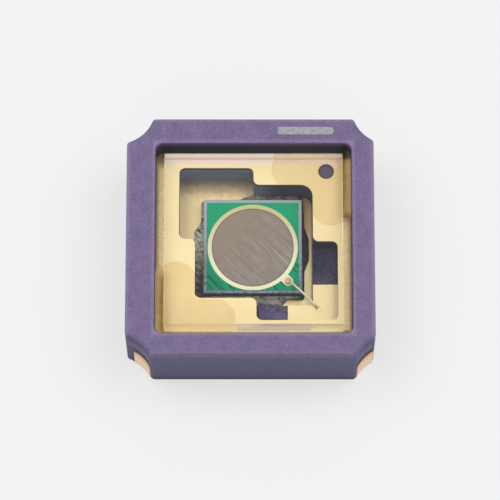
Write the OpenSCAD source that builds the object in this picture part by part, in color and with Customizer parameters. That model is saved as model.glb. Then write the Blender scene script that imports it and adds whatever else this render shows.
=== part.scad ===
// Photodiode in a leadless ceramic carrier with a glass window, sizes in millimetres.
// The origin is under the middle of the carrier, on the plane of its solder lands.
// +Z is up, +X is right and -Y is the front. Plan places inside are given from the middle of the rim opening.

/* [Ceramic carrier] */
// Width of the carrier, along X
carrier_w = 3; // [2.9:0.05:4]
// Depth of the carrier, along Y
carrier_d = 3; // [2.9:0.05:4]
// Thickness of the base layer under the chip well
base_t = 0.25; // [0.15:0.01:0.5]
// Thickness of the layer that forms the bond shelf
shelf_layer_t = 0.25; // [0.2:0.01:0.4]
// Thickness of the layer that forms the window plane
plane_layer_t = 0.2; // [0.15:0.01:0.4]
// Height of the rim above the window plane
rim_h = 0.37; // [0.34:0.01:0.6]

/* [Corner notches] */
// Radius of the hollow notch in each corner
notch_r = 0.46; // [0.4:0.01:0.55]
// Distance of the notch's centre beyond each side, if the punching is in the middle
notch_out = 0.16; // [0.1:0.01:0.2]
// Rounding where a notch meets a side
notch_edge_r = 0.05; // [0.02:0.01:0.08]

/* [Rim opening] */
// Offset of the punched opening and notches from the carrier's middle, along X
opening_x = 0.04; // [-0.06:0.01:0.06]
// Offset of the punched opening and notches from the carrier's middle, along Y
opening_y = -0.02; // [-0.06:0.01:0.06]
// Width of the opening
opening_w = 2.375; // [2.3:0.005:2.5]
// Depth of the opening
opening_d = 2.405; // [2.3:0.005:2.5]
// Corner radius of the opening
opening_r = 0.09; // [0.02:0.01:0.1]

/* [Chip well and bond shelf] */
// Distance from the opening's middle to the well's left wall
well_left = 0.71; // [0.66:0.01:0.8]
// Distance to the well's right wall
well_right = 0.72; // [0.66:0.01:0.8]
// Distance to the well's back wall
well_back = 0.755; // [0.7:0.005:0.85]
// Distance to the edge of the window plane in front of the well
well_front = 0.69; // [0.64:0.01:0.75]
// How far the shelf's wall stands forward of that edge
shelf_setback = 0.035; // [0.01:0.005:0.06]
// Distance to the left wall of the pocket beside the well
pocket_left = 0.905; // [0.85:0.005:1]
// Distance to the back wall of that pocket
pocket_back = 0.97; // [0.95:0.01:1.05]
// Place of the pocket's right wall
pocket_right = 0; // [-0.2:0.01:0.2]
// Place of the pocket's front wall
pocket_front = 0.06; // [-0.1:0.01:0.3]
// Distance to the right wall above the shelf
shelf_right = 1.02; // [0.95:0.01:1.05]
// Distance to the front wall above the shelf
shelf_front = 0.97; // [0.92:0.01:1.05]
// Place of the shelf's back end
shelf_back = 0.03; // [-0.1:0.01:0.2]
// Place of the shelf's left end
shelf_left = 0.035; // [-0.1:0.005:0.2]
// Rounding of the punched corners
punch_r = 0.07; // [0.03:0.01:0.09]
// Rounding of the well's back right corner
well_corner_r = 0.15; // [0.05:0.01:0.2]

/* [Plating] */
// Thickness of every plated layer
plate_t = 0.01; // [0.005:0.001:0.015]
// Distance of the bond pad's back end in front of the opening's middle
pad_back = 0.46; // [0.3:0.01:0.6]
// Place of the bond pad's left end
pad_left = 0.415; // [0.3:0.005:0.6]
// How far the bond pad runs on under the window plane
pad_tuck = 0.05; // [0.02:0.01:0.1]
// Width of the buried leads
lead_w = 0.2; // [0.1:0.01:0.24]
// Diameter of the bare index dot in the window plane
dot_d = 0.19; // [0.1:0.01:0.22]
// Place of the dot, along X
dot_x = 0.885; // [0.86:0.005:0.95]
// Place of the dot, along Y
dot_y = 0.925; // [0.9:0.005:1]
// Half the angle of the notch that is plated
wrap_angle = 17; // [14:1:18]
// Width of a solder land
land_w = 0.8; // [0.6:0.05:1]
// Depth of a solder land
land_d = 0.6; // [0.5:0.05:1]
// Distance of a land from the sides of the carrier
land_inset = 0.06; // [0.02:0.01:0.1]

/* [Window] */
// Thickness of the glass
window_t = 0.3; // [0.2:0.01:0.31]
// Gap beside the glass, left and right
window_gap_x = 0.107; // [0.06:0.001:0.15]
// Gap at the back and front of the glass
window_gap_y = 0.12; // [0.06:0.001:0.15]
// Thickness of the glue under the glass
glue_t = 0.02; // [0.01:0.005:0.025]
// Reach of a glue dab along each wall, from its corner
dab_reach = 0.97; // [0.7:0.01:1.1]
// Width of a glue dab along each wall
dab_w = 0.5; // [0.2:0.01:0.6]
// Length of the glue that fills the gap beside the glass, from the same corner
fill_reach = 0.88; // [0.6:0.01:1.1]
// Height of the glue in the gap above the plane
fill_h = 0.2; // [0.05:0.01:0.3]

/* [Chip] */
// Thickness of the chip
chip_t = 0.17; // [0.1:0.01:0.2]
// Place of the chip, along X
chip_x = -0.01; // [-0.04:0.01:0.04]
// Place of the chip, along Y
chip_y = 0.05; // [0:0.01:0.07]
// Bare sawn margin around the chip's coating
saw_margin = 0.04; // [0.01:0.005:0.045]
// Thickness of the coatings on the chip
coat_t = 0.005; // [0.002:0.001:0.01]
// Diameter of the active area
active_d = 1; // [0.9:0.01:1]
// Width of the contact ring
ring_w = 0.05; // [0.02:0.005:0.06]
// Distance from the contact ring to the nearest edges of the chip
chip_border = 0.05; // [0.045:0.005:0.08]
// Offset of the active area from the chip's middle, along Y
active_y = -0.015; // [-0.02:0.005:0.02]
// Length of the bond tab beyond the contact ring
tab_l = 0.065; // [0.05:0.005:0.11]
// Width of the bond tab
tab_w = 0.12; // [0.08:0.005:0.13]
// Thickness of the chip's adhesive under it
bed_t = 0.02; // [0.01:0.005:0.03]
// Height of the adhesive that is squeezed out beside the chip
squeeze_h = 0.05; // [0.035:0.005:0.1]
// Least width of the squeezed-out adhesive
squeeze_least = 0.03; // [0.01:0.005:0.04]
// Width of the adhesive's lobe on the left
squeeze_left = 0.12; // [0.05:0.01:0.15]
// Width of the lobe on the right
squeeze_right = 0.085; // [0.05:0.005:0.15]
// Width of the lobe at the back
squeeze_back = 0.15; // [0.05:0.01:0.2]
// Width of the lobe in front
squeeze_front = 0.1; // [0.05:0.01:0.15]
// Rounding of the lobes
squeeze_r = 0.06; // [0.02:0.01:0.07]

/* [Bond wire] */
// Diameter of the wire
wire_d = 0.03; // [0.02:0.001:0.035]
// Diameter of the ball on the chip
ball_d = 0.075; // [0.05:0.005:0.08]
// Height of the ball
ball_h = 0.025; // [0.015:0.005:0.04]
// Height of the loop above the ball
loop_h = 0.09; // [0.06:0.01:0.15]
// Place of the stitch on the bond pad, along X
stitch_x = 0.79; // [0.76:0.01:0.9]
// Place of the stitch on the bond pad, along Y
stitch_y = -0.775; // [-0.9:0.005:-0.76]
// Length of the stitch
stitch_l = 0.06; // [0.04:0.01:0.08]
// Thickness of the stitch
stitch_t = 0.007; // [0.004:0.001:0.01]

/* [Index mark] */
// Length of the printed bar
mark_l = 0.68; // [0.3:0.01:0.8]
// Width of the printed bar
mark_w = 0.1; // [0.05:0.01:0.15]
// Place of the bar's middle, along X
mark_x = 0.635; // [0.5:0.005:0.65]
// Thickness of the print
mark_t = 0.006; // [0.003:0.001:0.01]

/* [Hidden] */

// Smoothness of true circles, and steps in each rounded corner of a punched outline
$fn = 64;
arc_steps = 10;
// Extra length of a cut past an open face
past = 0.1;

// Levels of the stack, from the solder lands up
floor_z = plate_t + base_t;
shelf_z = floor_z + shelf_layer_t;
plane_z = shelf_z + plane_layer_t;
top_z = plane_z + rim_h;
chip_z = floor_z + plate_t + bed_t;
coat_z = chip_z + chip_t;
glass_z = plane_z + plate_t + glue_t;

// Plan sizes that follow from the driving ones
half_w = carrier_w / 2;
half_d = carrier_d / 2;
glass_w = opening_w - 2 * window_gap_x;
glass_d = opening_d - 2 * window_gap_y;
shelf_wall = well_front + shelf_setback;
ring_r = active_d / 2 + ring_w;
chip_w = 2 * (ring_r + chip_border);
tab_place = (ring_r + tab_l) * sqrt(0.5);
ball_place = [chip_x + tab_place, chip_y + active_y - tab_place];
stitch_place = [stitch_x, stitch_y];
// Direction of the bond wire in plan
wire_turn = atan2(stitch_place.y - ball_place.y, stitch_place.x - ball_place.x);
wire_run = norm(stitch_place - ball_place);
wire_rings = 28;
wire_sides = 14;

gold = "#e9d49a";
ceramic_purple = "#7b6f94";

function unit(v) = v / norm(v);
function plan(p) = [p[0], p[1]];

// Points on an arc around c, from one angle to another
function arc(c, r, from, to, steps = arc_steps) =
    [for (k = [0 : steps]) let (a = from + (to - from) * k / steps) c + r * [cos(a), sin(a)]];

// Outline through corners given as [x, y, radius], each one rounded
function rounded(corners) =
    let (n = len(corners))
    [for (i = [0 : n - 1])
        let (p = plan(corners[i]), r = corners[i][2],
             a = unit(plan(corners[(i + n - 1) % n]) - p), b = unit(plan(corners[(i + 1) % n]) - p),
             half = acos(a * b) / 2, c = p + unit(a + b) * r / sin(half),
             first = p + a * r / tan(half) - c, last = p + b * r / tan(half) - c,
             from = atan2(first.y, first.x),
             turn = atan2(first.x * last.y - first.y * last.x, first * last))
        each arc(c, r, from, from + turn)];

// Rectangle between two corners with rounded corners
function panel(low, high, r) =
    rounded([[low.x, low.y, r], [high.x, low.y, r], [high.x, high.y, r], [low.x, high.y, r]]);

// Straight strip of width w between two points
function strip(p, q, w) =
    let (side = unit([p.y - q.y, q.x - p.x]) * w / 2) [p + side, p - side, q - side, q + side];

function reversed(points) = [for (i = [len(points) - 1 : -1 : 0]) points[i]];

// Centre of the notch in the corner with signs sx and sy
function notch_centre(sx, sy) =
    [sx * (half_w + notch_out) + opening_x, sy * (half_d + notch_out) + opening_y];

// Distance along a side from a notch's centre to the centre of its edge rounding
function notch_reach(out) = sqrt(pow(notch_r + notch_edge_r, 2) - pow(out + notch_edge_r, 2));

// Outline of the corner with signs sx and sy, from its left or right side round to its back or front
function notched_corner(sx, sy) =
    let (out_x = notch_out + sx * opening_x, out_y = notch_out + sy * opening_y,
         c = [half_w + out_x, half_d + out_y], reach_x = notch_reach(out_y), reach_y = notch_reach(out_x),
         lean_x = atan2(out_x + notch_edge_r, reach_y), lean_y = atan2(out_y + notch_edge_r, reach_x),
         quarter = concat(arc([half_w - notch_edge_r, c.y - reach_y], notch_edge_r, 0, 90 - lean_x),
                          arc(c, notch_r, 270 - lean_x, 180 + lean_y),
                          arc([c.x - reach_x, half_d - notch_edge_r], notch_edge_r, lean_y, 90)))
    [for (p = quarter) [sx * p.x, sy * p.y]];

function carrier_outline() =
    concat(notched_corner(1, 1), reversed(notched_corner(-1, 1)),
           notched_corner(-1, -1), reversed(notched_corner(1, -1)));

// Walls that the well and the window plane share, from the well's front left round to its back right
pocket_side = [[-well_left, pocket_front, punch_r], [-pocket_left, pocket_front, punch_r],
               [-pocket_left, pocket_back, punch_r], [pocket_right, pocket_back, punch_r],
               [pocket_right, well_back, punch_r], [well_right, well_back, well_corner_r]];

function well_outline() =
    rounded(concat([[well_right, -shelf_wall, punch_r], [-well_left, -shelf_wall, punch_r]], pocket_side));

function plane_outline() =
    rounded(concat([[well_right, shelf_back, punch_r], [shelf_right, shelf_back, punch_r],
                    [shelf_right, -shelf_front, punch_r], [shelf_left, -shelf_front, punch_r],
                    [shelf_left, -well_front, punch_r], [-well_left, -well_front, punch_r]], pocket_side));

module carrier_shape() { polygon(carrier_outline()); }
module well_shape() { polygon(well_outline()); }
module plane_opening_shape() { polygon(plane_outline()); }
module opening_shape() { polygon(panel(-[opening_w, opening_d] / 2, [opening_w, opening_d] / 2, opening_r)); }
module glass_shape() { square([glass_w, glass_d], center = true); }

// Moves a shape from the middle of the rim opening to the middle of the carrier
module in_opening(z = 0) { translate([opening_x, opening_y, z]) children(); }

// Lead between two layers, from a place in the opening out to the wall of a corner notch
module buried_lead(from, sx, sy) {
    intersection() {
        polygon(strip(from + [opening_x, opening_y], notch_centre(sx, sy), lead_w));
        carrier_shape();
    }
}

// Floor of the well and the lead that runs from it to the front left notch
module die_pad_plate() {
    translate([0, 0, floor_z]) {
        linear_extrude(plate_t) in_opening() well_shape();
        linear_extrude(plate_t) buried_lead([-well_left, -shelf_wall] + [1, 1] * lead_w, -1, -1);
    }
}

// Corner of the shelf and the lead that runs from it to the front right notch
module bond_pad_plate() {
    low = [pad_left, -shelf_front - pad_tuck];
    high = [shelf_right + pad_tuck, -pad_back];
    translate([0, 0, shelf_z]) {
        linear_extrude(plate_t) in_opening() difference() {
            translate(low) square(high - low);
            well_shape();
        }
        linear_extrude(plate_t) buried_lead([shelf_right, -shelf_front], 1, -1);
    }
}

// The fired stack of layers: base, bond shelf, window plane and rim in one piece
module ceramic_carrier() {
    color(ceramic_purple) difference() {
        translate([0, 0, plate_t]) linear_extrude(top_z - plate_t) carrier_shape();
        in_opening(plane_z) linear_extrude(rim_h + past) opening_shape();
        in_opening(shelf_z) linear_extrude(plane_layer_t + past) plane_opening_shape();
        in_opening(floor_z) linear_extrude(shelf_layer_t + past) well_shape();
        die_pad_plate();
        bond_pad_plate();
    }
}

// Plating that lines the middle of one corner notch
module notch_wrap_shape(sx, sy) {
    c = notch_centre(sx, sy);
    middle = atan2(-sy, -sx);
    face = arc(c, notch_r - plate_t, middle - wrap_angle, middle + wrap_angle);
    root = arc(c, notch_r + notch_edge_r, middle + wrap_angle, middle - wrap_angle);
    difference() {
        intersection() {
            polygon(concat(face, root));
            square([carrier_w, carrier_d], center = true);
        }
        carrier_shape();
    }
}

// Solder land under one corner, joined to the plating of its notch
module terminal(sx, sy) {
    size = [land_w, land_d];
    outer = [half_w, half_d] - [land_inset, land_inset];
    middle = outer - size / 2;
    color(gold) {
        linear_extrude(plate_t) {
            intersection() {
                translate([sx * middle.x, sy * middle.y]) square(size, center = true);
                carrier_shape();
            }
            notch_wrap_shape(sx, sy);
        }
        linear_extrude(shelf_z + plate_t) notch_wrap_shape(sx, sy);
    }
}

module terminal_front_left() { terminal(-1, -1); }
module terminal_front_right() { terminal(1, -1); }
module terminal_back_left() { terminal(-1, 1); }
module terminal_back_right() { terminal(1, 1); }

// Plated floor of the well, with its lead to the front left terminal
module die_pad() { color(gold) die_pad_plate(); }

// Plated corner of the shelf, with its lead to the front right terminal
module bond_pad() { color(gold) bond_pad_plate(); }

module window_plane_shape() {
    difference() {
        opening_shape();
        plane_opening_shape();
        translate([dot_x, dot_y]) circle(d = dot_d);
    }
}

// Plated plane that the window is glued to, left bare in one round dot
module window_plane() {
    color(gold) in_opening(plane_z) linear_extrude(plate_t) window_plane_shape();
}

// Adhesive spread around the chip's foot, in lobes that the walls of the well stop
module squeeze_shape() {
    e = chip_w / 2;
    thin = e + squeeze_least;
    left = -e - squeeze_left;
    right = e + squeeze_right;
    back = e + squeeze_back;
    front = -e - squeeze_front;
    r = squeeze_r;
    spread = [[left, e * 0.4, r], [-thin, e * 0.6, r / 2], [-thin, thin, r / 2], [-e * 0.4, thin, r / 2],
              [-e * 0.2, e + squeeze_back / 2, r / 2], [e * 0.1, back, r], [e, back, r], [thin, e * 0.75, r],
              [thin, e * 0.5, r], [right, e * 0.25, r], [right, -e * 0.2, r], [thin, -e * 0.45, r],
              [thin, -thin, r / 2], [e * 0.7, -thin, r / 2], [e * 0.6, front, r / 2], [e * 0.05, front, r],
              [-e * 0.1, -thin, r / 2], [left, -thin, r], [left * 0.98, -e * 0.6, r]];
    intersection() {
        translate([chip_x, chip_y]) polygon(rounded(spread));
        well_shape();
    }
}

// Bed of adhesive under the chip, squeezed out around it
module die_adhesive() {
    color("#4a4844") in_opening(floor_z + plate_t) difference() {
        linear_extrude(squeeze_h) squeeze_shape();
        translate([chip_x, chip_y, bed_t]) linear_extrude(squeeze_h) square(chip_w, center = true);
    }
}

module in_chip(z) { in_opening(z) translate([chip_x, chip_y]) children(); }

module chip() {
    color("#a3adb3") in_chip(chip_z) linear_extrude(chip_t) square(chip_w, center = true);
}

// Round contact with its bond tab, filled in
module contact_shape() {
    translate([0, active_y]) {
        circle(ring_r);
        polygon(strip([0, 0], [tab_place, -tab_place], tab_w));
        translate([tab_place, -tab_place]) circle(d = tab_w);
    }
}

module active_shape() { translate([0, active_y]) circle(d = active_d); }

// Green coating between the sawn margin and the contact
module passivation() {
    color("#2b9a6e") in_chip(coat_z) linear_extrude(coat_t) difference() {
        square(chip_w - 2 * saw_margin, center = true);
        contact_shape();
    }
}

module active_area() {
    color("#998c80") in_chip(coat_z) linear_extrude(coat_t) active_shape();
}

module contact_ring() {
    color("#e0d8b2") in_chip(coat_z) linear_extrude(coat_t) difference() {
        contact_shape();
        active_shape();
    }
}

// Ends of the bond wire's underside, as [run, height], and the points that pull its curve up
wire_head = [0, coat_z + coat_t + ball_h / 2];
wire_foot = [wire_run, shelf_z + plate_t];
wire_rise = [wire_run * 0.12, wire_head.y + loop_h];
wire_fall = [wire_run * 0.72, wire_head.y + loop_h];
// Share of the wire that stays round before it is pressed flat
round_share = 0.9;

// Underside of the bond wire at t from 0 to 1, on a cubic curve between its two ends
function wire_line(t) =
    let (s = 1 - t)
    s * s * s * wire_head + 3 * s * s * t * wire_rise + 3 * s * t * t * wire_fall + t * t * t * wire_foot;

// How far the wire is pressed flat at t, from 0 for round to 1 at the stitch
function pressed(t) = max(0, (t - round_share) / (1 - round_share));

// Ring of points around the wire at step i
function wire_ring(i) =
    let (t = i / wire_rings, dt = 0.01,
         ahead = unit(wire_line(min(1, t + dt)) - wire_line(max(0, t - dt))),
         high = (wire_d * (1 - pressed(t)) + stitch_t * pressed(t)) / 2, wide = wire_d / 2 * (1 + pressed(t)),
         c = wire_line(t) + [0, high])
    [for (k = [0 : wire_sides - 1])
        let (a = 360 * k / wire_sides, lift = high * sin(a))
        [c.x - ahead.y * lift, wide * cos(a), c.y + ahead.x * lift]];

// Loop of wire between the ball and the stitch, running along +X from the ball
module wire_loop() {
    n = wire_sides;
    rings = [for (i = [0 : wire_rings]) each wire_ring(i)];
    walls = [for (i = [0 : wire_rings - 1], k = [0 : n - 1])
             let (k2 = (k + 1) % n) [i * n + k, i * n + k2, (i + 1) * n + k2, (i + 1) * n + k]];
    first = [for (k = [n - 1 : -1 : 0]) k];
    last = [for (k = [0 : n - 1]) wire_rings * n + k];
    polyhedron(rings, concat(walls, [first, last]));
}

// Pressed ball, turned about its own axis
module wire_ball() {
    bulge = ball_h / 2;
    side = arc([ball_d / 2 - bulge, bulge], bulge, -60, 60);
    rotate_extrude() polygon(concat([[0, 0], [side[0].x, 0]], side, [[wire_d / 2, ball_h], [0, ball_h]]));
}

// Gold wire with its ball on the bond tab and its stitch on the bond pad
module bond_wire() {
    color("#d8b878") in_opening() translate(ball_place) rotate(wire_turn) {
        translate([0, 0, coat_z + coat_t]) wire_ball();
        wire_loop();
        translate([wire_run, 0, shelf_z + plate_t]) linear_extrude(stitch_t)
            polygon(panel([-stitch_l / 2, -wire_d], [stitch_l / 2, wire_d], wire_d / 2));
    }
}

// Glue along one wall, from the corner at the origin along +X to a round end
function glue_arm() =
    let (r = dab_w / 2) concat([[0, 0]], arc([dab_reach - r, r], r, -90, 90, 2 * arc_steps), [[0, dab_w]]);

// Plan of the front left glue dab, an arm along each wall of the opening
module dab_shape() {
    translate([-opening_w, -opening_d] / 2) {
        polygon(glue_arm());
        polygon(reversed([for (p = glue_arm()) [p.y, p.x]]));
    }
}

// Plan of the glue in the gap to the left of the glass, in the same corner
module fill_shape() {
    translate([-opening_w, -opening_d] / 2) square([window_gap_x, fill_reach]);
}

// Clear glue in two opposite corners: a film under the glass and a fill in the gap beside it
module window_glue() {
    color("#d9b56a", 0.6) for (turn = [0, 180]) in_opening(plane_z + plate_t) {
        linear_extrude(glue_t) intersection() {
            rotate(turn) dab_shape();
            window_plane_shape();
        }
        linear_extrude(fill_h) intersection() {
            rotate(turn) fill_shape();
            opening_shape();
        }
    }
}

module window() {
    color("#dfe6e4", 0.3) in_opening(glass_z) linear_extrude(window_t) glass_shape();
}

// Printed bar along the middle of the rim's back side
module index_mark() {
    rim_middle = (opening_d / 2 + half_d - opening_y) / 2;
    bar = [mark_l, mark_w] / 2;
    square_r = mark_w * 0.05;
    round_r = mark_w * 0.45;
    color("#a6a8ad") in_opening(top_z) translate([mark_x, rim_middle]) linear_extrude(mark_t)
        polygon(rounded([[-bar.x, -bar.y, square_r], [bar.x, -bar.y, round_r], [bar.x, bar.y, round_r],
                         [-bar.x, bar.y, square_r]]));
}

ceramic_carrier();
terminal_front_left();
terminal_front_right();
terminal_back_left();
terminal_back_right();
die_pad();
bond_pad();
window_plane();
die_adhesive();
chip();
passivation();
active_area();
contact_ring();
bond_wire();
window_glue();
window();
index_mark();
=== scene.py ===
"""Photodiode in a leadless ceramic carrier: the looks of its pieces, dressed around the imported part."""
import math

import bpy
from mathutils import Matrix, Vector


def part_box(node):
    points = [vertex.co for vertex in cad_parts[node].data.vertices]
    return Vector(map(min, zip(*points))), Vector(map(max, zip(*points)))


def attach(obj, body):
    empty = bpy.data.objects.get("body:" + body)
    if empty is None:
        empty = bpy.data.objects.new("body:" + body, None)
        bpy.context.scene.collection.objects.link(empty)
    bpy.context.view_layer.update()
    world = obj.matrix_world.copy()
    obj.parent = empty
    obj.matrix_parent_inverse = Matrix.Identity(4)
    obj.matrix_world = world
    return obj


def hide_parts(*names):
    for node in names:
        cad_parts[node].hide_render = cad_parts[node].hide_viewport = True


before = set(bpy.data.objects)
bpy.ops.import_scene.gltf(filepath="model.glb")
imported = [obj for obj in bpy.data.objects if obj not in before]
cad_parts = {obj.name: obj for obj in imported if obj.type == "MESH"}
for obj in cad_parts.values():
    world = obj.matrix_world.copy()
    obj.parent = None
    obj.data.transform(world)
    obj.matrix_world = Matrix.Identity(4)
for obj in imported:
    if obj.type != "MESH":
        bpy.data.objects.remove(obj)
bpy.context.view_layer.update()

# Pieces are modelled in millimetres and brought to metres when they are finished
MM = 0.001

# View of the photograph: its camera, and the pixel at which the middle of the carrier's top face shows
IMAGE_PIXELS = 500
FOCAL_PIXELS = 3329.7
SENSOR_MM = 36
CAMERA_ELEVATION = 71.52
CAMERA_DISTANCE = 40.112
TOP_PIXEL = (250.25, 235.29)

# Places in the carrier, from the middle of its rim opening
DOT_PLACE = (0.885, 0.925)
DOT_R = 0.095
SHELF_LEFT = 0.035
SHELF_BACK = 0.03
SHELF_RIGHT = 1.02
SHELF_FRONT = -0.97
STITCH_PLACE = (0.79, -0.775)

# Length of the glue that fills the gap beside the glass, from the corner of the opening
FILL_REACH = 0.88

# Levels over which the middle layer of the stack starts and ends in the notches
MIDDLE_LAYER_TOP = (0.84, 0.78)
MIDDLE_LAYER_FOOT = (0.61, 0.65)

# Sizes of the bond
BOND_TAB_W = 0.12
WIRE_R = 0.015
BALL_R = 0.0375
BALL_H = 0.025
LOOP_H = 0.09
STITCH_R = 0.034
STITCH_FLAT = 0.16
STITCH_LIFT = 0.0035
PRESSED_FROM = 0.88

# Widths of the rounded edges
RIM_ROUND = 0.035
FOOT_ROUND = 0.012
CHIP_ROUND = 0.006
GLASS_ROUND = 0.006
FILM_ROUND = 0.001
INK_ROUND = 0.002

# Grid of the skins drawn over the epoxy and the wire
EPOXY_GRID = 0.012
WIRE_GRID = 0.0035

# Air between clear pieces that would otherwise share a face
CLEAR_GAP = 0.0015

# Slack when points are sorted by their level
SLACK = 0.001

# Angles in degrees: edges that are rounded, faces that are smoothed, triangles that lie in one plane
SHARP_ANGLE = 30
SMOOTH_ANGLE = 35
FLAT_ANGLE = 0.5

# Floor, lamps and room, in metres and watts
FLOOR_SIZE = 1.2
FLOOR_GLOW = 0.6
LAMP_PLACE = (0.055, 0.018, 0.113)
LAMP_SIZE = 0.085
LAMP_WATTS = 0.0485
ROOM_STRENGTH = 0.5
WALLS = (1, 1, 1, 1)
CEILING = (0.72, 0.72, 0.72, 1)


def corners_of(node):
    """Lowest and highest corner of a node of the part, in millimetres."""
    low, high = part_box(node)
    return Vector(low) / MM, Vector(high) / MM


def middle_of(node):
    low, high = corners_of(node)
    return (low + high) / 2


CARRIER_LOW, CARRIER_HIGH = corners_of("ceramic_carrier")
PLANE_LOW, PLANE_HIGH = corners_of("window_plane")
OPENING = middle_of("window_plane")
OPENING_HALF = PLANE_HIGH - OPENING
PAD_LOW, PAD_HIGH = corners_of("bond_pad")
FLOOR_HIGH = corners_of("die_pad")[1]
CHIP_LOW, CHIP_HIGH = corners_of("chip")
GLASS_LOW, GLASS_HIGH = corners_of("window")
GLASS = middle_of("window")
GLASS_HALF = GLASS_HIGH - GLASS


# Modelling


def activate(piece):
    """Makes a piece the only selected one, and the active one."""
    bpy.ops.object.select_all(action="DESELECT")
    piece.select_set(True)
    bpy.context.view_layer.objects.active = piece


def apply_all(piece):
    """Applies a piece's modifiers in their order."""
    activate(piece)
    for modifier in list(piece.modifiers):
        bpy.ops.object.modifier_apply(modifier=modifier.name)


def select_mode(vertices=False, edges=False, faces=False):
    bpy.context.tool_settings.mesh_select_mode = (vertices, edges, faces)


def copy_of(node, name, wanted=None):
    """Copy of a node of the part, welded, with its flat faces, or those that pass a test, joined."""
    piece = bpy.data.objects.new(name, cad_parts[node].data.copy())
    bpy.context.collection.objects.link(piece)
    piece.scale = (1 / MM, 1 / MM, 1 / MM)
    activate(piece)
    bpy.ops.object.transform_apply(location=True, rotation=True, scale=True)
    select_mode(vertices=True)
    bpy.ops.object.mode_set(mode="EDIT")
    bpy.ops.mesh.select_all(action="SELECT")
    bpy.ops.mesh.remove_doubles(threshold=0.0002)
    if wanted:
        select_mode(faces=True)
        bpy.ops.mesh.select_all(action="DESELECT")
        bpy.ops.object.mode_set(mode="OBJECT")
        for face in piece.data.polygons:
            face.select = wanted(face)
        bpy.ops.object.mode_set(mode="EDIT")
    bpy.ops.mesh.dissolve_limited(angle_limit=math.radians(FLAT_ANGLE))
    bpy.ops.object.mode_set(mode="OBJECT")
    return piece


def upright(face):
    return abs(face.normal.z) < 0.5


def added(name):
    """Names the object that an operator has just added."""
    piece = bpy.context.object
    piece.name = name
    piece.data.name = name
    return piece


def box(name, low, high):
    """Block between two corners."""
    bpy.ops.object.select_all(action="DESELECT")
    bpy.ops.mesh.primitive_cube_add(size=1, location=(low + high) / 2, scale=high - low)
    return added(name)


def disc(name, middle, radius, low, high, sides):
    """Round plate about an upright axis, from one level to another."""
    bpy.ops.object.select_all(action="DESELECT")
    place = (middle[0], middle[1], (low + high) / 2)
    bpy.ops.mesh.primitive_cylinder_add(vertices=sides, radius=radius, depth=high - low, location=place)
    return added(name)


def lump(name, middle, radius, flat):
    """Ball pressed flat along Z."""
    bpy.ops.object.select_all(action="DESELECT")
    bpy.ops.mesh.primitive_uv_sphere_add(segments=32, ring_count=16, radius=radius, location=middle,
                                         scale=(1, 1, flat))
    return added(name)


def combine(piece, tool, operation):
    """Joins another shape to a piece or cuts it out, and clears the other shape away."""
    change = piece.modifiers.new("combine", "BOOLEAN")
    change.operation = operation
    change.object = tool
    change.solver = "EXACT"
    apply_all(piece)
    bpy.data.objects.remove(tool)
    return piece


def soften(piece, width, wanted=None, segments=2):
    """Rounds the sharp edges of a piece whose two ends pass a test."""
    activate(piece)
    select_mode(edges=True)
    bpy.ops.object.transform_apply(location=True, rotation=True, scale=True)
    bpy.ops.object.mode_set(mode="EDIT")
    bpy.ops.mesh.select_all(action="DESELECT")
    bpy.ops.mesh.edges_select_sharp(sharpness=math.radians(SHARP_ANGLE))
    bpy.ops.object.mode_set(mode="OBJECT")
    if wanted:
        points = piece.data.vertices
        for face in piece.data.polygons:
            face.select = False
        for edge in piece.data.edges:
            first, last = edge.vertices
            edge.select = edge.select and wanted(points[first].co, points[last].co)
    bpy.ops.object.mode_set(mode="EDIT")
    bpy.ops.mesh.bevel(offset=width, segments=segments, affect="EDGES", loop_slide=False)
    bpy.ops.object.mode_set(mode="OBJECT")
    return piece


def shrink(piece, amount):
    """Moves all faces of a piece inwards."""
    activate(piece)
    select_mode(vertices=True)
    bpy.ops.object.mode_set(mode="EDIT")
    bpy.ops.mesh.select_all(action="SELECT")
    bpy.ops.transform.shrink_fatten(value=-amount, use_even_offset=True)
    bpy.ops.object.mode_set(mode="OBJECT")
    return piece


def finish(piece, slot, looks, *nodes):
    """Brings a piece to metres at the origin, smooths it and puts it on the part in place of its nodes."""
    activate(piece)
    piece.matrix_world = Matrix.Scale(MM, 4) @ piece.matrix_world
    bpy.ops.object.transform_apply(location=True, rotation=True, scale=True)
    bpy.ops.object.shade_smooth_by_angle(angle=math.radians(SMOOTH_ANGLE))
    even = piece.modifiers.new("even", "WEIGHTED_NORMAL")
    even.weight = 100
    even.keep_sharp = True
    apply_all(piece)
    piece.data.materials.clear()
    for look in looks:
        piece.data.materials.append(look)
    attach(piece, "root")
    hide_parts(*nodes)


# Shader maths


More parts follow.
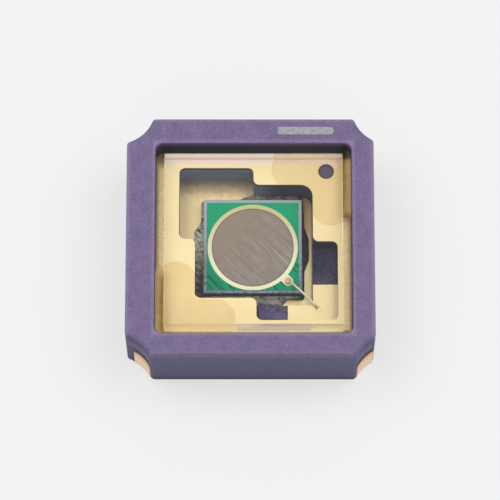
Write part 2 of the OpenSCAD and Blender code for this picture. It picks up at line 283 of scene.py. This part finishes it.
class Shade:
    """A socket of a material's nodes. Maths on it adds Math nodes, and node() adds any other node."""

    def __init__(self, tree, socket):
        self.tree = tree
        self.socket = socket

    def node(self, kind, settings, inputs, out=0):
        """Adds a node, sets its settings, then the values or links of its inputs, and gives one output."""
        made = self.tree.nodes.new(kind)
        for name, value in settings.items():
            setattr(made, name, value)
        for name, value in inputs.items():
            if isinstance(value, Shade):
                self.tree.links.new(value.socket, made.inputs[name])
            else:
                made.inputs[name].default_value = value
        return Shade(self.tree, made.outputs[out])

    def maths(self, operation, first, second=0.0):
        return self.node("ShaderNodeMath", {"operation": operation}, {0: first, 1: second})

    def __add__(self, other):
        return self.maths("ADD", self, other)

    __radd__ = __add__

    def __mul__(self, other):
        return self.maths("MULTIPLY", self, other)

    __rmul__ = __mul__

    def __sub__(self, other):
        return self.maths("SUBTRACT", self, other)

    def __rsub__(self, other):
        return self.maths("SUBTRACT", other, self)

    def __abs__(self):
        return self.maths("ABSOLUTE", self)

    def least(self, other):
        return self.maths("MINIMUM", self, other)

    def most(self, other):
        return self.maths("MAXIMUM", self, other)

    def away(self, other, first, second):
        """Distance in the plane of this axis and another from a point with two coordinates."""
        across = self - first
        along = other - second
        return self.maths("SQRT", across * across + along * along)

    def step(self, low, high):
        """Smooth step, from 0 at one value to 1 at the other."""
        limits = {"Value": self, "From Min": low, "From Max": high}
        return self.node("ShaderNodeMapRange", {"interpolation_type": "SMOOTHSTEP"}, limits)

    def blend(self, low, high):
        """Colour between two others, by this value."""
        return self.node("ShaderNodeMix", {"data_type": "RGBA"}, {0: self, 6: low, 7: high}, out=2)

    def turned(self, angle=0.0, stretch=(1, 1, 1)):
        """These coordinates, turned about Z and then scaled along each axis."""
        level = self.node("ShaderNodeMapping", {}, {"Vector": self, "Rotation": (0, 0, math.radians(angle))})
        return self.node("ShaderNodeVectorMath", {"operation": "MULTIPLY"}, {0: level, 1: stretch})

    def noise(self, scale, detail=2.0, rough=0.5):
        """Cloudy noise over these coordinates, centred on 0."""
        values = {"Vector": self, "Scale": scale, "Detail": detail, "Roughness": rough}
        return self.node("ShaderNodeTexNoise", {}, values) - 0.5

    def axes(self):
        """The three numbers of these coordinates."""
        split = self.node("ShaderNodeSeparateXYZ", {}, {0: self}).socket.node
        return [Shade(self.tree, out) for out in split.outputs]

    def bump(self, height):
        """Normal of a surface raised by this value times a height in metres."""
        return self.node("ShaderNodeBump", {}, {"Height": self, "Distance": height, "Strength": 1.0})


def tone(red, green, blue):
    """Linear colour from the usual 0 to 255 values."""
    shares = [value / 255 for value in (red, green, blue)]
    return [s / 12.92 if s <= 0.04045 else ((s + 0.055) / 1.055) ** 2.4 for s in shares] + [1]


def new_look(name):
    """New material, with its place on the part in millimetres."""
    made = bpy.data.materials.new(name)
    made.use_nodes = True
    tree = made.node_tree
    raw = Shade(tree, tree.nodes.new("ShaderNodeTexCoord").outputs["Object"])
    return made, raw.node("ShaderNodeVectorMath", {"operation": "SCALE"}, {0: raw, "Scale": 1 / MM})


def surface(made, values):
    """Sets the values or links of a material's main shader."""
    shader = made.node_tree.nodes["Principled BSDF"]
    for name, value in values.items():
        if isinstance(value, Shade):
            made.node_tree.links.new(value.socket, shader.inputs[name])
        else:
            shader.inputs[name].default_value = value
    return made


# Finishes


def fired_ceramic():
    """Matte purple ceramic with a fine grain: paler along the rim's edges, partly wear and partly a painted
    highlight, and darkened inside the cavity and at the foot by painted shade.
    """
    made, place = new_look("fired_ceramic")
    x, y, z = place.axes()
    grain = place.noise(60)
    shade = 0.5 + 1.5 * grain + 0.7 * place.noise(8, 3)
    speck = place.noise(34, 1).step(0.19, 0.28)
    from_side = (CARRIER_HIGH.x - abs(x)).least(CARRIER_HIGH.y - abs(y))
    from_opening = (abs(x - OPENING.x) - OPENING_HALF.x).most(abs(y - OPENING.y) - OPENING_HALF.y)
    # Outside: rim, sides and foot
    purple = shade.blend(tone(95, 83, 123), tone(139, 123, 163))
    # Painted shade: the slate sides darken toward the foot
    up = z.step(CARRIER_LOW.z + 0.1, CARRIER_HIGH.z - 0.1)
    deep_slate = up.blend(tone(63, 59, 98), tone(74, 70, 111))
    slate = shade.blend(deep_slate, up.blend(tone(96, 91, 131), tone(108, 103, 145)))
    # Paler band along the outer and opening edges: partly wear, partly a painted highlight, mostly left off
    # the front edge
    in_front = (y - CARRIER_LOW.y).step(0.12, 0.0)
    wear_and_highlight = from_side.least(from_opening).step(0.06, 0.0) * (0.45 + grain) * (1 - 0.85 * in_front)
    pale = wear_and_highlight.most(0.6 * speck).blend(purple, tone(176, 154, 192))
    outside = z.step(CARRIER_HIGH.z, CARRIER_HIGH.z - 0.18).blend(pale, slate)
    # Painted contact shadow: a dark band along the foot
    outside = z.step(CARRIER_LOW.z + 0.22, CARRIER_LOW.z).blend(outside, tone(43, 35, 88))
    # Layers of the stack show as bands in the notches above the plating: a paler grey middle layer between
    # darker purple that is partly painted shade in the recess
    middle_layer = z.step(*MIDDLE_LAYER_TOP) * z.step(*MIDDLE_LAYER_FOOT)
    layers = middle_layer.blend(tone(82, 64, 118), tone(110, 108, 131))
    notch = from_side.step(0.01, 0.05) * z.step(CARRIER_HIGH.z - 0.03, CARRIER_HIGH.z - 0.1)
    outside = (0.8 * notch).blend(outside, layers)
    # Inside: walls of the rim, walls of the well, bare shelf and dot, darkened in places by painted shade
    # Painted shade: the rim's inner walls darken downward, in the narrow gap beside the glass
    down_rim = z.step(CARRIER_HIGH.z - 0.02, CARRIER_HIGH.z - 0.15)
    rim_wall = down_rim.blend(tone(110, 89, 138), tone(53, 53, 70))
    # Painted shade: the well's wall darkens toward the right, beside the chip and its epoxy
    right = (x - OPENING.x).step(-0.1, 0.3)
    left_wall = shade.blend(tone(90, 96, 106), tone(119, 126, 137))
    well_wall = (0.92 * right).blend(left_wall, tone(30, 35, 56))
    brink = (z + 0.05 * grain).step(PLANE_LOW.z - 0.08, PLANE_LOW.z - 0.02)
    well_wall = (0.9 * brink).blend(well_wall, tone(36, 39, 46))
    # Painted shade: the bare shelf darkens toward its back and along its walls
    back = (y - OPENING.y).step(-0.7, -0.2)
    mottled = shade + 1.8 * place.noise(22, 3)
    dark = back.blend(tone(62, 54, 86), tone(12, 7, 44))
    shelf = mottled.blend(dark, back.blend(tone(114, 103, 140), tone(62, 54, 96)))
    in_x = (OPENING.x + SHELF_RIGHT - x).least(x - OPENING.x - SHELF_LEFT)
    in_y = (OPENING.y + SHELF_BACK - y).least(y - OPENING.y - SHELF_FRONT)
    edge = in_x.least(in_y).step(0.05, 0.0)
    shelf = (0.92 * edge).blend(shelf, tone(8, 4, 26))
    # Painted shade: a dark edge around the bare dot, at the plating's wall
    from_dot = x.away(y, OPENING.x + DOT_PLACE[0], OPENING.y + DOT_PLACE[1])
    dot = from_dot.step(0.7 * DOT_R, DOT_R).blend(tone(105, 97, 124), tone(52, 46, 66))
    bare = z.step(PLANE_LOW.z - 0.1, PLANE_LOW.z - 0.05).blend(shelf, dot)
    flat = abs(z - PAD_LOW.z).step(0.004, 0.002).most(abs(z - PLANE_LOW.z).step(0.004, 0.002))
    over_shelf = (x - OPENING.x).step(SHELF_LEFT - 0.02, SHELF_LEFT) * z.step(PAD_LOW.z - 0.004, PAD_LOW.z)
    over_shelf = over_shelf * (y - OPENING.y).step(SHELF_BACK + 0.02, SHELF_BACK)
    well = flat.most(over_shelf).blend(well_wall, bare)
    inside = z.step(PLANE_LOW.z + 0.006, PLANE_LOW.z + 0.002).blend(rim_wall, well)
    within = from_opening.step(0.012, 0.002) * z.step(CARRIER_LOW.z + 0.1, CARRIER_LOW.z + 0.15)
    within = within * z.step(CARRIER_HIGH.z - 0.004, CARRIER_HIGH.z - 0.025)
    colour = within.blend(outside, inside)
    look = {"Base Color": colour, "Roughness": 0.66 + 0.3 * grain, "Normal": grain.bump(0.000006)}
    return surface(made, look)


def plane_gold(name):
    """Matte gold plating: a painted pinkish reflection of the glass's back edge, and painted shade that turns
    it brown in the open gap and dark along the rim.
    """
    made, place = new_look(name)
    x, y, _ = place.axes()
    under_x = GLASS_HALF.x - abs(x - GLASS.x)
    under_y = GLASS_HALF.y - abs(y - GLASS.y)
    grain = place.noise(42, 3)
    plain = (0.5 + 0.8 * grain + 0.9 * place.noise(3)).blend(tone(249, 224, 162), tone(254, 238, 190))
    outer = (x - OPENING.x).step(0.2, 0.9).most((OPENING.y - y).step(0.6, 1.0))
    plain = (0.35 * outer).blend(plain, tone(230, 208, 158))
    # Painted reflection: pinkish where the glass's ground back edge mirrors in the gold
    back_edge_reflection = (0.9 * (y - GLASS_HIGH.y).step(-0.13, -0.02)).blend(plain, tone(250, 227, 213))
    # Painted shade: the open gap beside the glass is browner, and darker along the rim, at the front and at
    # the back
    streaks = place.turned(35, (1, 6, 1)).noise(14, 3)
    gap = (0.5 + 1.8 * streaks).blend(tone(220, 178, 126), tone(255, 242, 192))
    from_side = OPENING_HALF.x - abs(x - OPENING.x)
    shaded = from_side.step(0.05, 0.0).most((y - PLANE_LOW.y).step(0.16, 0.115))
    shaded = shaded.most((PLANE_HIGH.y - y).step(0.24, 0.1))
    gap = (0.66 * shaded).blend(gap, tone(84, 70, 60))
    colour = under_x.least(under_y).step(0.004, -0.004).blend(back_edge_reflection, gap)
    look = {"Base Color": colour, "Metallic": 0.7, "Roughness": 0.5 + 0.25 * grain}
    return surface(made, look)


def floor_gold():
    """Gold floor of the well: blotchy, with a painted dim reflection of the wall behind, and painted shade in
    the strip beside the chip.
    """
    made, place = new_look("floor_gold")
    x, y, _ = place.axes()
    blotches = place.turned(stretch=(1, 0.8, 1)).noise(15, 5, 0.7)
    grain = place.noise(45, 2)
    plain = (0.5 + 0.9 * grain + 0.6 * blotches).blend(tone(233, 199, 144), tone(244, 228, 176))
    # Painted reflection: the dark wall behind, dimly mirrored near the back of the floor
    wall_reflection = (FLOOR_HIGH.y - y + 0.3 * blotches).step(0.3, 0.02)
    colour = (0.8 * wall_reflection).blend(plain, tone(160, 145, 132))
    # Painted shade: the strip right of the chip darkens toward the back and along the right wall
    beside = (x - CHIP_HIGH.x).step(-0.03, 0.03)
    strip = (y - CHIP_LOW.y).step(1.1, 0.2).blend(tone(204, 170, 124), tone(255, 240, 180))
    strip = (FLOOR_HIGH.x - x).step(0.025, 0.0).blend(strip, tone(136, 114, 86))
    look = {"Base Color": beside.blend(colour, strip), "Metallic": 0.9, "Roughness": 0.42 + 0.25 * grain}
    return surface(made, look)


def notch_gold():
    """Gold in a corner notch, more orange toward its brown ragged top."""
    made, place = new_look("notch_gold")
    grain = place.noise(30, 3)
    height = place.axes()[2]
    plain = (0.5 + 1.6 * grain).blend(tone(238, 204, 156), tone(255, 237, 202))
    thin = (height + 0.15 * grain).step(PAD_LOW.z - 0.26, PAD_LOW.z - 0.03)
    top = (height + 0.12 * place.noise(14, 3)).step(PAD_LOW.z - 0.045, PAD_LOW.z - 0.015)
    colour = top.blend(thin.blend(plain, tone(230, 186, 124)), tone(128, 88, 64))
    return surface(made, {"Base Color": colour, "Metallic": 0.8, "Roughness": 0.42 + 0.3 * grain})


def sawn_silicon():
    """Pale bare silicon, duller at the front, with dark sides that carry saw marks and chips."""
    made, place = new_look("sawn_silicon")
    _, y, z = place.axes()
    marks = place.turned(stretch=(1, 1, 0.2)).noise(90, 2)
    top = z.step(CHIP_HIGH.z - 0.03, CHIP_HIGH.z - 0.003)
    back = y.step(CHIP_LOW.y, CHIP_HIGH.y)
    dim = (0.5 + 2.6 * place.noise(26, 3)).blend(tone(66, 96, 102), tone(138, 158, 162))
    pale = back.blend(dim, (0.5 + 1.4 * marks).blend(tone(148, 158, 166), tone(193, 199, 205)))
    dark = marks.step(0.05, 0.2).blend(tone(42, 48, 60), tone(150, 160, 166))
    look = {"Base Color": top.blend(dark, pale), "Metallic": 0.3, "Roughness": 0.45 + 0.3 * marks}
    return surface(made, look)


def green_coating():
    """Thin clear oxide that shows green, with darker slanting streaks at the front."""
    made, place = new_look("green_coating")
    low, high = corners_of("passivation")
    front = place.axes()[1].step(high.y, low.y)
    streaks = place.turned(45, (1.2, 16, 1)).noise(2.6, 2)
    even = front.blend(tone(27, 175, 126), tone(0, 166, 119))
    colour = (front * streaks.step(-0.06, 0.16)).blend(even, tone(0, 96, 56))
    look = {"Base Color": colour, "Roughness": 0.3 + 0.2 * streaks, "Specular IOR Level": 0.05}
    return surface(made, look)


def active_coating():
    """Grey-brown coating with fine slanting scratches, the clearest of them at the front right, and a painted
    shadow inside the contact ring.
    """
    made, place = new_look("active_coating")
    x, y, _ = place.axes()
    middle = middle_of("active_area")
    slant = ((x - middle.x) - (y - middle.y)).step(-0.6, 0.6)
    brushed = place.turned(46, (1.0, 18, 1)).noise(2.6, 4, 0.65)
    cloud = place.noise(11, 4)
    lone = place.turned(44, (0.6, 15, 1)).noise(3.2, 1)
    base = slant.blend(tone(155, 133, 113), tone(142, 131, 120))
    scratched = 0.5 + (1.4 + 1.2 * slant) * brushed + 0.7 * cloud
    fine = scratched.blend(tone(120, 106, 93), tone(183, 169, 155))
    worked = 0.6 * (0.65 + 0.35 * slant)
    colour = (lone.step(0.18, 0.26) * slant * 0.5).blend(worked.blend(base, fine), tone(206, 200, 194))
    # Painted shadow: a dark line just inside the contact ring
    radius = middle.x - corners_of("active_area")[0].x
    rim = x.away(y, middle.x, middle.y).step(radius - 0.025, radius)
    colour = (0.55 * rim).blend(colour, tone(92, 76, 62))
    return surface(made, {"Base Color": colour, "Roughness": 0.42 + 0.3 * brushed, "Coat Weight": 0.1})


def contact_metal():
    """Evaporated pale metal, yellower at the back and around the wire's ball."""
    made, place = new_look("contact_metal")
    x, y, _ = place.axes()
    low, high = corners_of("contact_ring")
    grain = place.noise(50, 2)
    front = (y + 0.2 * grain).step(high.y, low.y + 0.2)
    plain = front.blend(tone(219, 208, 146), tone(250, 248, 206))
    ball = ball_place()
    near_ball = x.away(y, ball.x, ball.y).step(0.075, 0.035)
    colour = near_ball.blend(plain, tone(226, 208, 150))
    return surface(made, {"Base Color": colour, "Metallic": 0.2, "Roughness": 0.45 + 0.2 * grain})


def drawn_gold():
    """Pale drawn gold with faint marks along it, browner at the ball by painted shade and reflection, with a
    painted shadow just before the stitch, and yellower at the stitch.
    """
    made, place = new_look("drawn_gold")
    x, y, _ = place.axes()
    marks = place.noise(90, 2)
    ball = ball_place()
    along = (x - ball.x) - (y - ball.y)
    end = STITCH_PLACE[0] + OPENING.x - ball.x - STITCH_PLACE[1] - OPENING.y + ball.y
    drawn = (0.5 + marks).blend(tone(240, 216, 188), tone(255, 244, 226))
    # Painted shade and reflection: browner near the ball
    pressed = along.step(0.05, 0.02).blend(drawn, tone(224, 190, 146))
    # Painted shadow: a brown band where the wire comes down onto the pad
    with_stitch_shadow = along.step(end - 0.11, end - 0.05).blend(pressed, tone(226, 194, 146))
    colour = along.step(end - 0.03, end).blend(with_stitch_shadow, tone(250, 230, 172))
    return surface(made, {"Base Color": colour, "Metallic": 0.5, "Roughness": 0.45 + 0.2 * marks})


def filled_epoxy():
    """Grey cured epoxy, streaked and full of pale metal flakes that carry painted glints, with painted shade
    around the chip, darkest on the right.
    """
    made, place = new_look("filled_epoxy")
    x, y, _ = place.axes()
    streaks = place.turned(50, (1, 2.2, 1)).noise(11, 4, 0.6)
    # Pale flakes and whitish streaks: metal filler, partly painted glints
    flake = place.noise(38, 2).step(0.04, 0.13)
    right = (x - middle_of("chip").x).step(0.5, 0.6)
    grey = (0.5 + 3.2 * streaks).blend(tone(68, 68, 62), tone(250, 242, 218))
    flaked = (flake * 0.85).blend(grey, tone(248, 242, 224))
    corner = (y + 0.3 * streaks - CHIP_LOW.y).step(0.4, 0.2) * (x - CHIP_LOW.x).step(0.05, 0.0)
    flaked = (0.68 * corner).blend(flaked, tone(38, 37, 40))
    # Painted shade: darker in front of and behind the chip, darkest on its right, by the well's walls
    front = (y - CHIP_LOW.y).step(0.0, -0.03)
    dim = (0.5 * front).blend(flaked, tone(50, 52, 94))
    behind = (y - CHIP_HIGH.y).step(-0.02, 0.03)
    dim = (0.6 * behind).blend(dim, tone(44, 42, 60))
    colour = (0.95 * right).blend(dim, tone(29, 42, 57))
    look = {"Base Color": colour, "Roughness": 0.4 + 0.3 * streaks, "Normal": streaks.bump(0.00001)}
    return surface(made, look)


def clear_glue():
    """Clear amber resin: faint as a film under the glass, deep where it fills the gap, with a painted shadow
    toward the back wall.
    """
    made, place = new_look("clear_glue")
    x, y, _ = place.axes()
    aside = abs(x - GLASS.x) - GLASS_HALF.x
    beside = aside.step(-0.002, 0.002)
    cloud = place.noise(9, 3)
    thin = (0.5 + cloud).blend(tone(240, 198, 96), tone(255, 223, 124))
    deep = (0.5 + 1.6 * cloud).blend(tone(176, 130, 60), tone(234, 190, 106))
    deep = (0.8 * aside.step(0.03, 0.08)).blend(deep, tone(232, 204, 140))
    # Painted shadow: the fill darkens toward the back wall
    deep = (0.9 * (y - GLASS_HIGH.y).step(-0.06, 0.0)).blend(deep, tone(30, 30, 26))
    end = OPENING_HALF.y - FILL_REACH
    full = beside * abs(y - OPENING.y).step(end, end + 0.08)
    alpha = 0.1 + 0.06 * cloud + 0.5 * full
    return surface(made, {"Base Color": beside.blend(thin, deep), "Roughness": 0.4, "Alpha": alpha})


def polished_glass():
    """Clear flat glass with a trace of haze."""
    made, place = new_look("polished_glass")
    colour = (0.5 + place.noise(2.5, 4)).blend((0.97, 0.98, 0.975, 1), (1, 1, 1, 1))
    look = {"Base Color": colour, "Roughness": 0.0, "IOR": 1.5, "Transmission Weight": 1.0}
    return surface(made, look)


def ground_glass():
    """Ground edge of the glass: grey where it is dry in front, golden where glue and plating show through."""
    made, place = new_look("ground_glass")
    x, y, z = place.axes()
    marks = place.turned(stretch=(1, 1, 5)).noise(16, 3)
    dry = (x + 0.05 * marks).step(-0.19, -0.13) * (x + 0.05 * marks).step(0.76, 0.7)
    golden = (0.5 + marks).blend(tone(255, 232, 176), tone(255, 250, 214))
    low = z.step(GLASS_HIGH.z - 0.05, GLASS_LOW.z)
    grey = (0.5 + marks).blend(low.blend(tone(233, 216, 211), tone(176, 163, 180)),
                               low.blend(tone(247, 236, 233), tone(197, 186, 206)))
    back = (0.5 + marks).blend(tone(240, 214, 190), tone(254, 234, 214))
    colour = y.step(0.0, 0.1).blend(dry.blend(golden, grey), back)
    rough = 0.85 - 0.65 * y.step(0.0, 0.1) + 0.1 * marks
    look = {"Base Color": colour, "Roughness": rough, "IOR": 1.5, "Transmission Weight": 1.0}
    return surface(made, look)


def grey_ink():
    """Printed ink, thin in places."""
    made, place = new_look("grey_ink")
    patch = place.noise(22, 3)
    colour = (0.5 + 1.6 * patch).blend(tone(141, 139, 151), tone(184, 186, 191))
    look = {"Base Color": colour, "Roughness": 0.6 + 0.2 * patch, "Normal": patch.bump(0.000003)}
    return surface(made, look)


# Pieces


def carrier():
    """The fired carrier, its rim and foot rounded."""
    middle = middle_of("ceramic_carrier").z
    ends = CARRIER_HIGH.z - middle - SLACK
    piece = copy_of("ceramic_carrier", "carrier_body",
                    lambda face: upright(face) or abs(face.center.z - middle) > ends)
    soften(piece, RIM_ROUND, lambda p, q: min(p.z, q.z) > CARRIER_HIGH.z - SLACK, segments=4)
    soften(piece, FOOT_ROUND, lambda p, q: max(p.z, q.z) < CARRIER_LOW.z + SLACK)
    finish(piece, "fired_ceramic", [fired_ceramic()], "ceramic_carrier")


def terminals():
    """Plating of the four corner notches with the lands under them."""
    gold = notch_gold()
    for corner in ("front_left", "front_right", "back_left", "back_right"):
        piece = copy_of("terminal_" + corner, "plating_" + corner)
        finish(piece, "gold_plating", [gold], "terminal_" + corner)


def inner_plating():
    """Plated plane with its round bare dot. The plated floor and shelf keep their own meshes."""
    piece = copy_of("window_plane", "plane_plating", upright)
    middle = (OPENING.x + DOT_PLACE[0], OPENING.y + DOT_PLACE[1])
    dot = disc("dot", middle, 1.01 * DOT_R, PLANE_LOW.z - 0.1, PLANE_HIGH.z + 0.1, 64)
    combine(piece, dot, "DIFFERENCE")
    finish(piece, "gold_plating", [plane_gold("plane_gold")], "window_plane")
    for node, gold in (("die_pad", floor_gold()), ("bond_pad", plane_gold("shelf_gold"))):
        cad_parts[node].data.materials.clear()
        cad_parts[node].data.materials.append(gold)


def chip_adhesive():
    """Epoxy squeezed out around the chip: a lumpy fillet that climbs the chip's sides."""
    piece = copy_of("die_adhesive", "chip_epoxy")
    middle = middle_of("chip")
    half = CHIP_HIGH.x - middle.x
    skin = piece.modifiers.new("skin", "REMESH")
    skin.mode = "VOXEL"
    skin.voxel_size = EPOXY_GRID
    apply_all(piece)
    # The skin is thin at its outer edge and climbs against the chip
    for point in piece.data.vertices:
        away = max(abs(point.co.x - middle.x), abs(point.co.y - middle.y)) - half
        climb = 0.35 + 1.3 * math.exp(-max(away, 0) / 0.05)
        point.co.z = FLOOR_HIGH.z + max(0, point.co.z - FLOOR_HIGH.z) * climb
    activate(piece)
    select_mode(vertices=True)
    bpy.ops.object.mode_set(mode="EDIT")
    bpy.ops.mesh.select_all(action="SELECT")
    bpy.ops.transform.vertex_random(offset=0.008, uniform=0.3, seed=3)
    bpy.ops.mesh.vertices_smooth(factor=0.5, repeat=2)
    bpy.ops.object.mode_set(mode="OBJECT")
    finish(piece, "die_epoxy", [filled_epoxy()], "die_adhesive")


def bare_chip():
    piece = soften(copy_of("chip", "silicon_chip"), CHIP_ROUND)
    finish(piece, "silicon", [sawn_silicon()], "chip")


def ball_place():
    """Where the wire's ball stands on the bond tab."""
    low, high = corners_of("bond_wire")
    return Vector((low.x + BALL_R, high.y - BALL_R, corners_of("contact_ring")[1].z))


def contact_outline(name):
    """Tall post with the outline of the round contact and its bond tab. Its three parts differ in height."""
    middle = middle_of("active_area")
    radius = middle.x - corners_of("contact_ring")[0].x
    tab = ball_place() - middle
    tab.z = 0
    low, high = middle.z - 0.1, middle.z + 0.1
    piece = disc(name, middle, radius, low, high, 128)
    end = disc("tab_end", middle + tab, BOND_TAB_W / 2, low - 0.02, high + 0.02, 32)
    half = Vector((0, BOND_TAB_W / 2, 0))
    bridge = box("tab", Vector((0, 0, low - 0.01)) - half, Vector((tab.length, 0, high + 0.01)) + half)
    turn = Matrix.Rotation(math.atan2(tab.y, tab.x), 4, "Z")
    bridge.matrix_world = Matrix.Translation((middle.x, middle.y, 0)) @ turn @ bridge.matrix_world
    combine(piece, bridge, "UNION")
    return combine(piece, end, "UNION")


def chip_films():
    """Green coating, contact ring and active area on the chip's top."""
    low, high = corners_of("passivation")
    middle = middle_of("active_area")
    radius = middle.x - corners_of("active_area")[0].x
    past = 0.1
    green = box("green_film", low, high)
    combine(green, contact_outline("contact_cut"), "DIFFERENCE")
    finish(green, "green_coating", [green_coating()], "passivation")
    ring = combine(contact_outline("contact_metal"), box("level", low, high), "INTERSECT")
    combine(ring, disc("active_cut", middle, radius, low.z - past, high.z + past, 128), "DIFFERENCE")
    finish(soften(ring, FILM_ROUND, segments=1), "contact_metal", [contact_metal()], "contact_ring")
    active = soften(disc("active_disc", middle, radius, low.z, high.z, 128), FILM_ROUND, segments=1)
    finish(active, "active_coating", [active_coating()], "active_area")


def bond_wire():
    """Gold wire from its pressed ball on the bond tab to its stitch on the shelf."""
    ball = ball_place()
    head = ball + Vector((0, 0, BALL_H / 2 + WIRE_R))
    foot = Vector((OPENING.x + STITCH_PLACE[0], OPENING.y + STITCH_PLACE[1], PAD_HIGH.z + STITCH_LIFT))
    run = Vector((foot.x - head.x, foot.y - head.y, 0))
    top = Vector((0, 0, LOOP_H))
    bpy.ops.object.select_all(action="DESELECT")
    bpy.ops.curve.primitive_bezier_curve_add()
    wire = added("gold_wire")
    first, last = wire.data.splines[0].bezier_points
    for point, place, before, after in ((first, head, head - top, head + 0.12 * run + top),
                                        (last, foot, head + 0.72 * run + top, foot + 0.1 * run)):
        point.handle_left_type = "FREE"
        point.handle_right_type = "FREE"
        point.co = place
        point.handle_left = before
        point.handle_right = after
    wire.data.dimensions = "3D"
    wire.data.resolution_u = 40
    wire.data.bevel_depth = WIRE_R
    wire.data.bevel_resolution = 4
    wire.data.use_fill_caps = True
    activate(wire)
    bpy.ops.object.convert(target="MESH")
    wire = bpy.context.object
    # The wire's end is pressed flat and wide on the pad
    for point in wire.data.vertices:
        ahead = (point.co - head).dot(run) / run.length_squared
        press = min(1, max(0, (ahead - PRESSED_FROM) / (1 - PRESSED_FROM)))
        line = foot.z + (point.co.z - foot.z) * (1 - 0.7 * press)
        aside = (point.co - foot).cross(run.normalized()).z
        point.co.z = max(line, PAD_HIGH.z)
        point.co += run.normalized().cross(Vector((0, 0, 1))) * (aside * 0.9 * press)
    lumps = [lump("ball", ball + Vector((0, 0, BALL_H / 2)), BALL_R, 0.5 * BALL_H / BALL_R),
             lump("stitch", foot, STITCH_R, STITCH_FLAT)]
    activate(wire)
    for piece in lumps:
        piece.select_set(True)
    bpy.ops.object.join()
    skin = wire.modifiers.new("skin", "REMESH")
    skin.mode = "VOXEL"
    skin.voxel_size = WIRE_GRID
    apply_all(wire)
    finish(wire, "gold_wire", [drawn_gold()], "bond_wire")


def glue():
    """The two dabs of clear glue, a hair clear of the plating and the glass."""
    piece = shrink(copy_of("window_glue", "glue_dabs", upright), CLEAR_GAP)
    finish(piece, "clear_glue", [clear_glue()], "window_glue")


def window():
    """Glass with polished faces and ground edges, which lets the lamps through to the chip."""
    piece = soften(box("window_glass", GLASS_LOW, GLASS_HIGH), GLASS_ROUND)
    finish(piece, "window_glass", [polished_glass(), ground_glass()], "window")
    for face in piece.data.polygons:
        face.material_index = int(abs(face.normal.z) < 0.9)
    piece.visible_shadow = False
    piece.visible_diffuse = False
    piece.visible_glossy = False


def printed_bar():
    piece = soften(copy_of("index_mark", "printed_bar"), INK_ROUND, segments=1)
    finish(piece, "grey_ink", [grey_ink()], "index_mark")


# Camera, floor and light


def camera():
    """Camera at the photograph's angle, aimed so that the top face shows at its pixel."""
    rise = math.radians(CAMERA_ELEVATION)
    reach = CAMERA_DISTANCE * MM
    data = bpy.data.cameras.new("camera")
    data.sensor_width = SENSOR_MM
    data.lens = SENSOR_MM * FOCAL_PIXELS / IMAGE_PIXELS
    data.clip_start = 0.001
    made = bpy.data.objects.new("camera", data)
    made.location = (0, -reach * math.cos(rise), CARRIER_HIGH.z * MM + reach * math.sin(rise))
    lower = math.atan2(IMAGE_PIXELS / 2 - TOP_PIXEL[1], FOCAL_PIXELS)
    aside = math.atan2(TOP_PIXEL[0] - IMAGE_PIXELS / 2, FOCAL_PIXELS)
    made.rotation_euler = (math.pi / 2 - rise - lower, 0, aside / math.cos(rise))
    bpy.context.collection.objects.link(made)
    bpy.context.scene.camera = made


def pale_floor():
    """Plain pale floor that keeps a light shadow of the part."""
    bpy.ops.object.select_all(action="DESELECT")
    bpy.ops.mesh.primitive_plane_add(size=FLOOR_SIZE)
    piece = added("floor")
    made, place = new_look("pale_floor")
    tree = made.node_tree
    path = tree.nodes.new("ShaderNodeLightPath")
    seen = Shade(tree, path.outputs["Is Camera Ray"]).most(Shade(tree, path.outputs["Is Glossy Ray"]))
    seen = seen.most(Shade(tree, path.outputs["Is Transmission Ray"]))
    surface(made, {"Base Color": tone(230, 230, 230), "Roughness": 0.9, "Specular IOR Level": 0.0})
    plain = Shade(tree, tree.nodes["Principled BSDF"].outputs[0])
    glow = place.node("ShaderNodeEmission", {}, {"Color": tone(255, 255, 255), "Strength": 1.0})
    mixed = place.node("ShaderNodeMixShader", {}, {0: seen * FLOOR_GLOW, 1: plain, 2: glow})
    tree.links.new(mixed.socket, tree.nodes["Material Output"].inputs["Surface"])
    piece.data.materials.append(made)


def lamps():
    """Two soft lamps, high on the left and right, and an even dim room with a dimmer ceiling."""
    for side in (-1, 1):
        data = bpy.data.lights.new("lamp", "AREA")
        data.shape = "DISK"
        data.size = LAMP_SIZE
        data.energy = LAMP_WATTS
        made = bpy.data.objects.new("lamp", data)
        made.location = (LAMP_PLACE[0] * side, LAMP_PLACE[1], LAMP_PLACE[2])
        made.rotation_euler = (-made.location).to_track_quat("-Z", "Y").to_euler()
        bpy.context.collection.objects.link(made)
    room = bpy.data.worlds.new("room")
    room.use_nodes = True
    tree = room.node_tree
    background = tree.nodes["Background"]
    way = Shade(tree, tree.nodes.new("ShaderNodeTexCoord").outputs["Generated"])
    colour = way.axes()[2].step(0.7, 0.95).blend(WALLS, CEILING)
    tree.links.new(colour.socket, background.inputs["Color"])
    background.inputs["Strength"].default_value = ROOM_STRENGTH
    bpy.context.scene.world = room


bpy.context.scene.view_settings.view_transform = "Standard"
camera()
carrier()
terminals()
inner_plating()
chip_adhesive()
bare_chip()
chip_films()
bond_wire()
glue()
window()
printed_bar()
pale_floor()
lamps()
